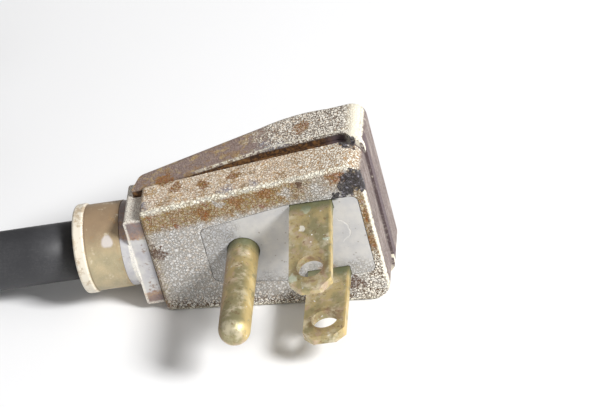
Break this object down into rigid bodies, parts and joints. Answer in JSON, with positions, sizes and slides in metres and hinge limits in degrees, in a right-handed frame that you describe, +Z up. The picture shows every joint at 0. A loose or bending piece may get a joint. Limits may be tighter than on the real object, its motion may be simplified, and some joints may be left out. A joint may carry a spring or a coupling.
{
  "type": "shore power cord",
  "caption": "Right-angle grounded plug with two flat blades and a round pin, a screwed two-part housing and cord grip, a coiled round cord and a moulded connector.",
  "frame": {"origin": "centre of the plug's box, measured without the cord and what is on it, on the surface that the plug lies on", "axes": "+Z up, -Y the way the prongs point, +X from the cord's end of the plug to its nose; the plug lies on its lower tapered side"},
  "size_m": [0.2239, 0.1554, 0.0733],
  "materials": {
    "housing": "pebble-textured, weathered and rust stained",
    "carrier": "smooth, slightly dusty",
    "prong_brass": "tarnished, corroded in spots",
    "screw_steel": "zinc plated, dulled",
    "clamp_brass": "plain",
    "end_plate": "smooth, stained at its edges",
    "seal_rubber": "matte",
    "washer_steel": "plain",
    "grip_nut": "worn, yellowed",
    "cord_rubber": "matte, lightly scuffed",
    "line_insulation": "smooth",
    "neutral_insulation": "smooth",
    "ground_insulation": "smooth",
    "copper": "bare stranded copper",
    "tie_fabric": "woven hook-and-loop strap",
    "connector_vinyl": "moulded, matte",
    "connector_face": "smooth",
    "contact_brass": "spring brass"
  },
  "bodies": {
    "plug": {"plug_base": "housing", "blade_carrier": "carrier", "line_blade": "prong_brass", "neutral_blade": "prong_brass", "ground_pin": "prong_brass", "cord_end_plate": "end_plate", "grip_bushing": "seal_rubber", "jacket_end": "cord_rubber", "line_wire": "line_insulation", "neutral_wire": "neutral_insulation", "ground_wire": "ground_insulation", "line_wire_strands": "copper", "neutral_wire_strands": "copper", "ground_wire_strands": "copper", "cord_run": "cord_rubber", "cord_coil": "cord_rubber", "cord_tail": "cord_rubber", "cord_tie": "tie_fabric", "connector_body": "connector_vinyl", "connector_face": "connector_face", "connector_line_contact": "contact_brass", "connector_neutral_contact": "contact_brass", "connector_ground_contact": "contact_brass", "connector_strain_relief": "connector_vinyl"},
    "cover": {"plug_cover": "housing"},
    "upper_screw": {"cover_screw_upper": "screw_steel"},
    "lower_screw": {"cover_screw_lower": "screw_steel"},
    "washer": {"slip_washer": "washer_steel"},
    "nut": {"grip_nut": "grip_nut"},
    "line_clamp": {"line_clamp_plate": "clamp_brass"},
    "line_screw": {"line_terminal_screw": "screw_steel"},
    "neutral_clamp": {"neutral_clamp_plate": "clamp_brass"},
    "neutral_screw": {"neutral_terminal_screw": "screw_steel"},
    "ground_clamp": {"ground_clamp_plate": "clamp_brass"},
    "ground_screw": {"ground_terminal_screw": "screw_steel"}
  },
  "joints": [
    {"name": "cover_lift", "type": "slide", "parent": "plug", "child": "cover", "axis": [0, 1, 0], "range_m": [0, 0.005]},
    {"name": "upper_cover_screw_turn", "type": "hinge", "parent": "cover", "child": "upper_screw", "pos_m": [0.01768, 0.01585, 0.02183], "axis": [0, 1, 0], "range_deg": [0, 1800]},
    {"name": "lower_cover_screw_turn", "type": "hinge", "parent": "cover", "child": "lower_screw", "pos_m": [0.01959, 0.01585, 0.00333], "axis": [0, 1, 0], "range_deg": [0, 1800]},
    {"name": "washer_slide", "type": "slide", "parent": "plug", "child": "washer", "axis": [-0.9947, 0, -0.1024], "range_m": [0, 0.003]},
    {"name": "grip_nut_turn", "type": "hinge", "parent": "washer", "child": "nut", "pos_m": [-0.01976, 0.00785, 0.00863], "axis": [-0.9947, 0, -0.1024], "range_deg": [0, 720]},
    {"name": "line_clamp_lift", "type": "slide", "parent": "plug", "child": "line_clamp", "axis": [0, 1, 0], "range_m": [0, 0.001]},
    {"name": "line_screw_turn", "type": "hinge", "parent": "line_clamp", "child": "line_screw", "pos_m": [0.01431, 0.01145, 0.01551], "axis": [0, 1, 0], "range_deg": [0, 450]},
    {"name": "neutral_clamp_lift", "type": "slide", "parent": "plug", "child": "neutral_clamp", "axis": [0, 1, 0], "range_m": [0, 0.001]},
    {"name": "neutral_screw_turn", "type": "hinge", "parent": "neutral_clamp", "child": "neutral_screw", "pos_m": [0.015, 0.01145, 0.00884], "axis": [0, 1, 0], "range_deg": [0, 450]},
    {"name": "ground_clamp_lift", "type": "slide", "parent": "plug", "child": "ground_clamp", "axis": [0, 1, 0], "range_m": [0, 0.001]},
    {"name": "ground_screw_turn", "type": "hinge", "parent": "ground_clamp", "child": "ground_screw", "pos_m": [0.00222, 0.01145, 0.01089], "axis": [0, 1, 0], "range_deg": [0, 450]}
  ],
  "couplings": [
    {"joint": "cover_lift", "follows": "upper_cover_screw_turn", "m_per_rad": 0.00015915},
    {"joint": "lower_cover_screw_turn", "follows": "upper_cover_screw_turn", "ratio": 1},
    {"joint": "washer_slide", "follows": "grip_nut_turn", "m_per_rad": 0.00023873},
    {"joint": "line_clamp_lift", "follows": "line_screw_turn", "m_per_rad": 0.00012732},
    {"joint": "neutral_clamp_lift", "follows": "neutral_screw_turn", "m_per_rad": 0.00012732},
    {"joint": "ground_clamp_lift", "follows": "ground_screw_turn", "m_per_rad": 0.00012732}
  ]
}
